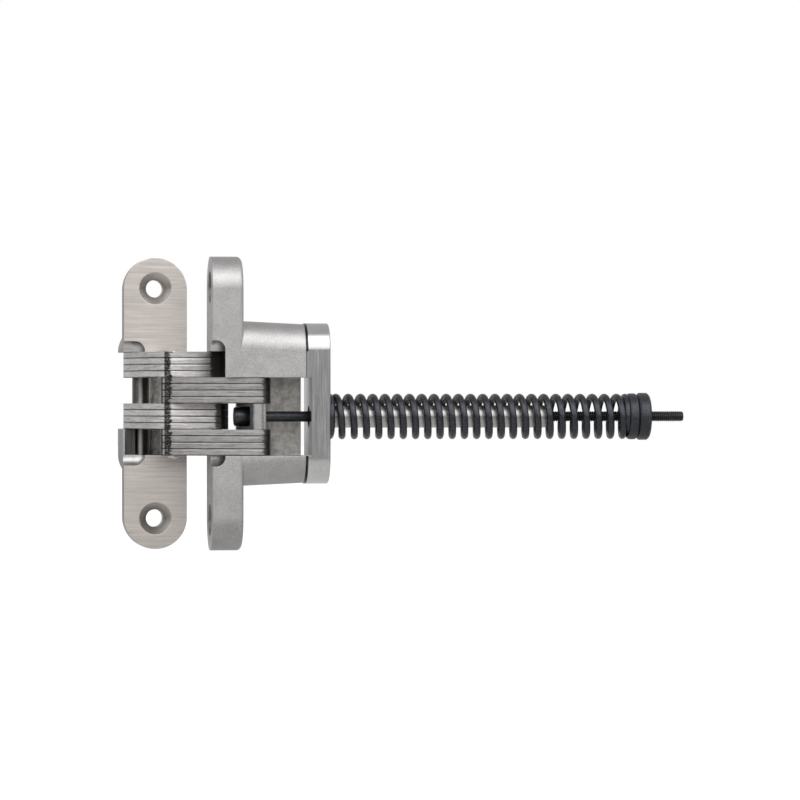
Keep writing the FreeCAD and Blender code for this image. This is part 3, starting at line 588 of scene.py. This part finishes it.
def turned_finish(name, colour, rough, stretch, soft_edge=0.2 * MM, tones=(0.85, 1.12), grooves=0.25,
                  seam=None):
    """Turned, drawn or milled steel with fine lines, set by how the noise is stretched.

    Where there is a seam, the face that lies there is darkened with painted shade, and the joint beyond the
    pocket is oiled.
    """
    finish = Finish(name)
    lines = finish.noise(stretch, 5.0, 0.6)
    clouds = finish.noise(200.0, 3.0)
    base = finish.mix(0.4, finish.tinted(lines, colour, *tones), finish.tinted(clouds, colour, 0.9, 1.06))
    if seam is not None:
        # Painted shade on the end plate's face toward the pocket.
        on_inner_face = finish.below(finish.axis(0), seam + 0.02 * MM)
        base = finish.mix(on_inner_face, base, shade(colour, 0.42))
        at_joint = finish.all_of(finish.below(finish.axis(0), seam + 0.9 * MM),
                                 finish.above(finish.math("ABSOLUTE", finish.axis(2)), POCKET_HALF))
        base = finish.mix(at_joint, base, colours_of("oil"))
    finish.surface(base, finish.vary(lines, rough - 0.06, rough + 0.08), 1.0)
    finish.relief(((lines, grooves, 0.04 * MM),), soft_edge)
    return finish.material


def black_finish(name, rough, worn):
    """Black oxide: nearly black, a little brown where it is worn."""
    finish = Finish(name)
    grain = finish.noise(1800.0, 4.0)
    wear_and_painted_light = finish.range(finish.noise(420.0, 5.0, 0.65), 0.58, 0.72, 0.0, worn)
    base = finish.mix(wear_and_painted_light, finish.tinted(grain, colours().black, 0.7, 1.35), colours_of("worn"))
    finish.surface(base, finish.vary(grain, rough - 0.06, rough + 0.1), 0.75)
    finish.relief(((grain, 0.25, 0.04 * MM),), 0.15 * MM)
    return finish.material


def give(obj, material):
    """Puts one material on a whole object."""
    obj.data.materials.clear()
    obj.data.materials.append(material)


def smooth(obj, angle=math.radians(35.0)):
    """Smooth shading with sharp edges where faces meet at more than an angle."""
    mesh = obj.data
    mesh.polygons.foreach_set("use_smooth", [True] * len(mesh.polygons))
    mesh.set_sharp_from_angle(angle=angle)


def piece(name, data):
    """An object with its mesh, light or camera data, in the scene."""
    obj = bpy.data.objects.new(name, data)
    bpy.context.scene.collection.objects.link(obj)
    return obj


def mesh_from(name, made):
    """A mesh from a bmesh, which is freed."""
    mesh = bpy.data.meshes.new(name)
    made.to_mesh(mesh)
    made.free()
    return mesh


def eased_copy(node, width):
    """A copy of a link plate with rounded edges, thick enough to touch the next plate."""
    made = bmesh.new()
    made.from_mesh(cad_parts[node].data)
    middle = node_middle(node, 2)
    stretch = (PLATE_PITCH - 0.02 * MM) / node_length(node, 2)
    for corner in made.verts:
        corner.co.z = middle + (corner.co.z - middle) * stretch
    bmesh.ops.remove_doubles(made, verts=made.verts, dist=1e-6)
    bmesh.ops.dissolve_limit(made, angle_limit=math.radians(1.0), verts=made.verts, edges=made.edges)
    sharp = [edge for edge in made.edges
             if len(edge.link_faces) == 2 and edge.calc_face_angle() > math.radians(50.0)]
    bmesh.ops.bevel(made, geom=sharp, offset=width, segments=2, profile=0.5, affect="EDGES",
                    clamp_overlap=True)
    name = node + "_eased"
    eased = piece(name, mesh_from(name, made))
    smooth(eased, math.radians(20.0))
    return eased


def tube_mesh(name, rings):
    """A closed tube through rings of points, with flat caps."""
    made = bmesh.new()
    loops = [[made.verts.new(point) for point in ring] for ring in rings]
    count = len(loops[0])
    for first, second in zip(loops, loops[1:]):
        for i in range(count):
            j = (i + 1) % count
            made.faces.new((first[i], first[j], second[j], second[i]))
    made.faces.new(list(reversed(loops[0])))
    made.faces.new(loops[-1])
    bmesh.ops.recalc_face_normals(made, faces=made.faces)
    return mesh_from(name, made)


def domed_pin(node, low_dome, high_dome, segments=32, steps=8):
    """An upright pin in place of a CAD node, with a dome of its own height at each end."""
    low, high = node_ends(node, 2)
    centre_x, centre_y = node_middle(node, 0), node_middle(node, 1)
    radius = node_length(node, 0) / 2
    first_turn = math.radians(4.0)
    turns = [first_turn + (math.pi / 2 - first_turn) * i / steps for i in range(steps + 1)]
    dome = [(1 - math.cos(turn), radius * math.sin(turn)) for turn in turns]
    profile = [(low + low_dome * share, reach) for share, reach in dome]
    profile += [(high - high_dome * share, reach) for share, reach in reversed(dome)]
    around = [math.tau * i / segments for i in range(segments)]
    rings = [[(centre_x + reach * math.cos(turn), centre_y + reach * math.sin(turn), height)
              for turn in around] for height, reach in profile]
    name = node + "_domed"
    pin = piece(name, tube_mesh(name, rings))
    smooth(pin, math.radians(50.0))
    return pin


def wall_lip():
    """The thicker front of the frame leaf's side wall, beside the slide pin in the lowest row."""
    near, far, front, back = WALL_LIP
    low = (FRAME_SIDE_X + near, FRAME_FACE_Y + front, -POCKET_HALF - 2 * MARGIN)
    high = (FRAME_SIDE_X + far, FRAME_FACE_Y + back, -POCKET_HALF / 2)
    made = bmesh.new()
    bmesh.ops.create_cube(made, size=1.0)
    for corner in made.verts:
        corner.co = [high[axis] if corner.co[axis] > 0 else low[axis] for axis in range(3)]
    return piece("frame_leaf_wall_lip", mesh_from("frame_leaf_wall_lip", made))


class HINGE_OT_finish_leaves(bpy.types.Operator):
    """Give both cast leaves their matte casting and brushed plated faces"""

    bl_idname = "hinge.finish_leaves"
    bl_label = "Finish the Leaves"

    def execute(self, context):
        frame_leaf, closer_leaf = (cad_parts[name] for name in LEAF_NODES)
        plated = leaf_finish(
            "frame_leaf_finish", 1, FRAME_FACE_Y, FRAME_SIDE_X, brush=(40.0, 900.0, 1300.0),
            plating=colours().nickel, notch_painted_light=FRAME_NOTCH_PAINTED_LIGHT, sink_tone=1.0, pocket_painted_light=1.22)
        give(frame_leaf, plated)
        lip = wall_lip()
        give(lip, plated)
        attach(lip, "frame_leaf")
        cast = leaf_finish(
            "closer_leaf_finish", 0, CLOSER_FACE_X, CLOSER_SIDE_Y, brush=(900.0, 40.0, 1300.0),
            plating=colours_of("milled", 1.1), notch_painted_light=CLOSER_NOTCH_PAINTED_LIGHT, sink_tone=0.35, pocket_painted_light=0.92)
        give(closer_leaf, cast)
        return {"FINISHED"}


class HINGE_OT_make_links(bpy.types.Operator):
    """Round the edges of the sixteen link plates and give them their blanked, oil-stained steel, with painted
    highlights and shade
    """

    bl_idname = "hinge.make_links"
    bl_label = "Make the Link Plates"

    def execute(self, context):
        for row, oiled in enumerate(OILED_AND_SHADED_ENDS, start=1):
            of_frame = row in (1, 3)
            names = [name for name in LINK_NODES if name.startswith(f"link_row{row}")]
            oil_and_shade_from = node_ends(names[0], 0)[1] - oiled
            for i, name in enumerate(names):
                # Each row's lightness is painted, standing in for how the light falls on its plates.
                tone = ROW_PAINTED_LIGHT[row - 1] * PLATE_TONES[(row + i) % len(PLATE_TONES)]
                shaded_root_at = None if of_frame else node_ends(name, 0)[0]
                steel = plate_finish(name + "_finish", tone, PLATE_HIGHLIGHTS[row - 1][i], oil_and_shade_from,
                                     arm_painted_light=1.0 if of_frame else 1.5, shaded_root_at=shaded_root_at)
                plate = eased_copy(name, sizes().plate_round)
                give(plate, steel)
                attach(plate, "frame_links" if of_frame else "closer_links")
                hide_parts(name)
        return {"FINISHED"}


class HINGE_OT_finish_pins(bpy.types.Operator):
    """Give the pins their oiled and turned steel, the drum and the slide pin painted light in bands, and the
    centre pin its domed ends
    """

    bl_idname = "hinge.finish_pins"
    bl_label = "Finish the Pins"

    def execute(self, context):
        oiled = turned_finish("oiled_pin_finish", colours().pin, 0.28, (600.0, 600.0, 90.0))
        for name in PIVOT_PINS:
            give(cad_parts[name], oiled)
        domed = domed_pin("centre_pin", 1.4 * MM, 0.3 * MM)
        give(domed, turned_finish("centre_pin_finish", colours().milled, 0.34, 600.0))
        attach(domed, "closer_links")
        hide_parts("centre_pin")
        # The drum gets a painted reflection in bands.
        drum = painted_band_finish("pull_pin_finish", "pull_pin", colours().plate, DRUM_PAINTED_REFLECTION)
        give(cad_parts["pull_pin"], drum)
        # The slide pin gets painted highlight and shade in bands.
        wear_and_painted_light = painted_band_finish("slide_pin_finish", "slide_pin", colours().pin, PIN_PAINTED_LIGHT)
        give(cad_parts["slide_pin"], wear_and_painted_light)
        return {"FINISHED"}


class HINGE_OT_finish_closer(bpy.types.Operator):
    """Give the end plate, its screws, the guide tube, the washer and the nut their finishes"""

    bl_idname = "hinge.finish_closer"
    bl_label = "Finish the Closer Parts"

    def execute(self, context):
        milled = turned_finish(
            "end_plate_finish", colours().milled, 0.20, (3600.0, 3600.0, 60.0), soft_edge=0.25 * MM,
            tones=(0.92, 1.05), seam=node_ends("end_plate", 0)[0])
        give(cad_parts["end_plate"], milled)
        drawn = turned_finish("guide_tube_finish", colours().tube, 0.32, (90.0, 1500.0, 1500.0), grooves=0.06)
        give(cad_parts["guide_tube"], drawn)
        black = black_finish("closer_black_finish", 0.36, 0.12)
        for name in BLACK_NODES:
            give(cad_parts[name], black)
        return {"FINISHED"}


class HINGE_OT_make_spring(bpy.types.Operator):
    """Wind the closer spring, its ends ground flat, from the end plate to the washer"""

    bl_idname = "hinge.make_spring"
    bl_label = "Make the Closer Spring"

    def execute(self, context):
        size = sizes()
        wire, turns = size.wire_diameter, size.spring_turns
        coil = SPRING_RADIUS - wire / 2
        ground = wire / 4
        rise = (SPRING_END - SPRING_START - 2 * ground) / turns
        all_turns = turns + 2 * LAST_TURN
        steps = int(round(all_turns * size.steps_a_turn))

        rings = []
        for step in range(steps + 1):
            turn = all_turns * step / steps - LAST_TURN
            angle = size.spring_phase + turn * math.tau
            out = Vector((0.0, math.cos(angle), math.sin(angle)))
            along = SPRING_START + ground + rise * min(max(turn, 0.0), turns)
            centre = Vector((along, ROD_Y, ROD_Z)) + out * coil
            forward = Vector((0.0, -out.z, out.y))
            lean = Vector((1.0, 0.0, 0.0)) - forward * rise / (math.tau * coil)
            lean.normalize()
            ring = []
            for i in range(size.wire_segments):
                around = math.tau * i / size.wire_segments
                point = centre + (out * math.cos(around) + lean * math.sin(around)) * wire / 2
                point.x = min(max(point.x, SPRING_START), SPRING_END)
                ring.append(point)
            rings.append(ring)
        spring = piece("closer_spring_wire", tube_mesh("closer_spring_wire", rings))
        give(spring, black_finish("closer_spring_finish", 0.27, 0.0))
        smooth(spring)
        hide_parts("closer_spring")
        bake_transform(spring)
        return {"FINISHED"}


class HINGE_OT_make_rod(bpy.types.Operator):
    """Make the closer rod: a socket cap head, a plain shank and a threaded end"""

    bl_idname = "hinge.make_rod"
    bl_label = "Make the Closer Rod"

    def execute(self, context):
        size = sizes()
        count, pitch = size.round_segments, size.thread_pitch
        radius = size.rod_diameter / 2
        root_radius = radius - 0.54 * pitch
        inscribed = size.socket_across / 2

        def ring(x, reach):
            """Points round the rod, at a distance from its axis that may depend on their turn round it."""
            points = []
            for i in range(count):
                turn = math.tau * i / count
                out = reach(turn) if callable(reach) else reach
                points.append(Vector((x, ROD_Y + out * math.cos(turn), ROD_Z + out * math.sin(turn))))
            return points

        def hexagon(turn):
            in_flat = (turn + math.pi / 6) % (math.pi / 3) - math.pi / 6
            return inscribed / math.cos(in_flat)

        def thread_ring(x):
            """Points round the thread at x. It fades in at its start and is cut back at its end."""
            to_end = ROD_END - x
            fade = max(0.0, min(1.0, (x - THREAD_START) / pitch, to_end / (0.6 * pitch) + 0.2))

            def reach(turn):
                crest = min(1.0, 1.25 * abs((x / pitch - turn / math.tau) % 1.0 * 2 - 1))
                out = radius - (radius - root_radius) * (1.0 - crest) * fade
                return min(out, root_radius + 0.6 * to_end) if to_end < 0.8 * pitch else out

            return ring(x, reach)

        head_end = ROD_START + size.head_length
        bevel, fillet = 0.5 * MM, 0.2 * MM
        rings = [
            ring(ROD_START + 3.0 * MM, hexagon),
            ring(ROD_START + 0.3 * MM, hexagon),
            ring(ROD_START, 1.22 * inscribed),
            ring(ROD_START, HEAD_RADIUS - bevel),
            ring(ROD_START + 0.35 * bevel, HEAD_RADIUS - 0.3 * bevel),
            ring(ROD_START + bevel, HEAD_RADIUS),
            ring(head_end - fillet, HEAD_RADIUS),
            ring(head_end, HEAD_RADIUS - fillet),
            ring(head_end, radius + fillet),
            ring(head_end + fillet, radius),
            ring(THREAD_START, radius),
        ]
        thread_length = ROD_END - THREAD_START
        steps = int(thread_length / pitch * size.steps_a_pitch)
        rings += [thread_ring(THREAD_START + thread_length * step / steps) for step in range(1, steps + 1)]
        rod = piece("closer_rod_screw", tube_mesh("closer_rod_screw", rings))
        give(rod, black_finish("closer_rod_finish", 0.34, 0.35))
        smooth(rod, math.radians(50.0))
        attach(rod, "closer_rod")
        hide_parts("closer_rod")
        return {"FINISHED"}


class HINGE_OT_make_stage(bpy.types.Operator):
    """Make the floor, the studio light and the camera"""

    bl_idname = "hinge.make_stage"
    bl_label = "Make the Studio"

    def execute(self, context):
        make_floor()
        make_world()
        make_softbox("softbox_top", place=(0.15, -0.9, 0.95), target=(0.05, 0.0, 0.0), area=(1.6, 0.5),
                     watts=2.5)
        make_camera()
        context.scene.view_settings.view_transform = "Standard"
        return {"FINISHED"}


def make_floor():
    """A floor that keeps the part's shadow, nearly white to the camera and paler or greyer in reflections."""
    mesh = bpy.data.meshes.new("studio_floor")
    corners = ((-1, -1), (1, -1), (1, 1), (-1, 1))
    mesh.from_pydata([(x * FLOOR_HALF, y * FLOOR_HALF, FLOOR_Z) for x, y in corners], [], [(0, 1, 2, 3)])
    material = bpy.data.materials.new("studio_floor")
    material.use_nodes = True
    nodes = Nodes(material.node_tree)
    rays = nodes.node("ShaderNodeLightPath")
    diffuse = nodes.node("ShaderNodeBsdfDiffuse")
    diffuse.inputs["Color"].default_value = opaque(FLOOR_GREY)
    white = nodes.math("MULTIPLY", rays.outputs["Is Camera Ray"], FLOOR_WHITE)
    shaded = nodes.shaders(white, diffuse.outputs[0], nodes.glow(FLOOR_GLOW))
    far = nodes.node("ShaderNodeVectorMath", operation="LENGTH")
    nodes.link(nodes.node("ShaderNodeTexCoord").outputs["Object"], far.inputs[0])
    mirrored = nodes.glow(nodes.range(far.outputs["Value"], **FLOOR_MIRRORED))
    seen = nodes.shaders(rays.outputs["Is Glossy Ray"], shaded, mirrored)
    nodes.link(seen, nodes.node("ShaderNodeOutputMaterial").inputs["Surface"])
    mesh.materials.append(material)
    piece("studio_floor", mesh)


def make_world():
    """A pale studio: white to the camera, with a broad bright ceiling over a greyer room in front."""
    world = bpy.data.worlds.new("studio")
    bpy.context.scene.world = world
    world.use_nodes = True
    nodes = Nodes(world.node_tree)

    def cool(value, stops):
        """A ramp of greys with a little more blue."""
        return nodes.ramp(value, [(spot, (level, level, level * 1.01)) for spot, level in stops])

    directions = nodes.split(nodes.node("ShaderNodeTexCoord").outputs["Generated"])
    side, depth, height = (nodes.range(direction, -1.0, 1.0, 0.0, 1.0) for direction in directions)
    behind = cool(depth, FRONT_TO_BACK)
    level = nodes.mix(behind, cool(side, FRONT_LEVEL), cool(side, BACK_LEVEL))
    above = nodes.mix(behind, cool(height, ABOVE), cool(height, BACK_ABOVE))
    room = nodes.mix(cool(height, LEVEL_TO_ABOVE), level, above)
    rays = nodes.node("ShaderNodeLightPath")
    background = nodes.node("ShaderNodeBackground")
    white = (1.0 / STUDIO_PEAK,) * 3
    nodes.link(nodes.mix(rays.outputs["Is Camera Ray"], room, white), background.inputs["Color"])
    background.inputs["Strength"].default_value = STUDIO_PEAK
    nodes.link(background.outputs[0], nodes.node("ShaderNodeOutputWorld").inputs["Surface"])


def make_softbox(name, place, target, area, watts):
    lamp = bpy.data.lights.new(name, "AREA")
    lamp.shape = "RECTANGLE"
    lamp.size, lamp.size_y = area
    lamp.energy = watts
    softbox = piece(name, lamp)
    softbox.location = place
    softbox.rotation_euler = (Vector(target) - Vector(place)).to_track_quat("-Z", "Y").to_euler()


def make_camera():
    """The photograph's view: a long lens a little to the left of the hinge and level with it."""
    data = bpy.data.cameras.new("view")
    data.lens = CAMERA_LENS
    data.sensor_width = CAMERA_SENSOR
    data.clip_start = 0.05
    camera = piece("view", data)
    camera.location = CAMERA_PLACE
    camera.rotation_euler = CAMERA_TURN
    bpy.context.scene.camera = camera


class HINGE_PT_sidebar(bpy.types.Panel):
    """Sizes, colours and steps of the hinge"""

    bl_idname = "HINGE_PT_sidebar"
    bl_label = "Concealed Hinge"
    bl_space_type = "VIEW_3D"
    bl_region_type = "UI"
    bl_category = "Hinge"

    def draw(self, context):
        for group in (context.scene.hinge_sizes, context.scene.hinge_colours):
            column = self.layout.column()
            for name in group.__annotations__:
                column.prop(group, name)
        for step in STEPS:
            self.layout.operator(step.bl_idname)


STEPS = (
    HINGE_OT_finish_leaves,
    HINGE_OT_make_links,
    HINGE_OT_finish_pins,
    HINGE_OT_finish_closer,
    HINGE_OT_make_spring,
    HINGE_OT_make_rod,
    HINGE_OT_make_stage,
)
CLASSES = (HingeSizes, HingeColours) + STEPS + (HINGE_PT_sidebar,)


def register():
    for item in CLASSES:
        bpy.utils.register_class(item)
    bpy.types.Scene.hinge_sizes = PointerProperty(type=HingeSizes)
    bpy.types.Scene.hinge_colours = PointerProperty(type=HingeColours)


def unregister():
    del bpy.types.Scene.hinge_colours
    del bpy.types.Scene.hinge_sizes
    for item in reversed(CLASSES):
        bpy.utils.unregister_class(item)


def main():
    register()
    for step in STEPS:
        group, name = step.bl_idname.split(".")
        getattr(getattr(bpy.ops, group), name)()
    bpy.context.view_layer.update()


if __name__ == "__main__":
    main()
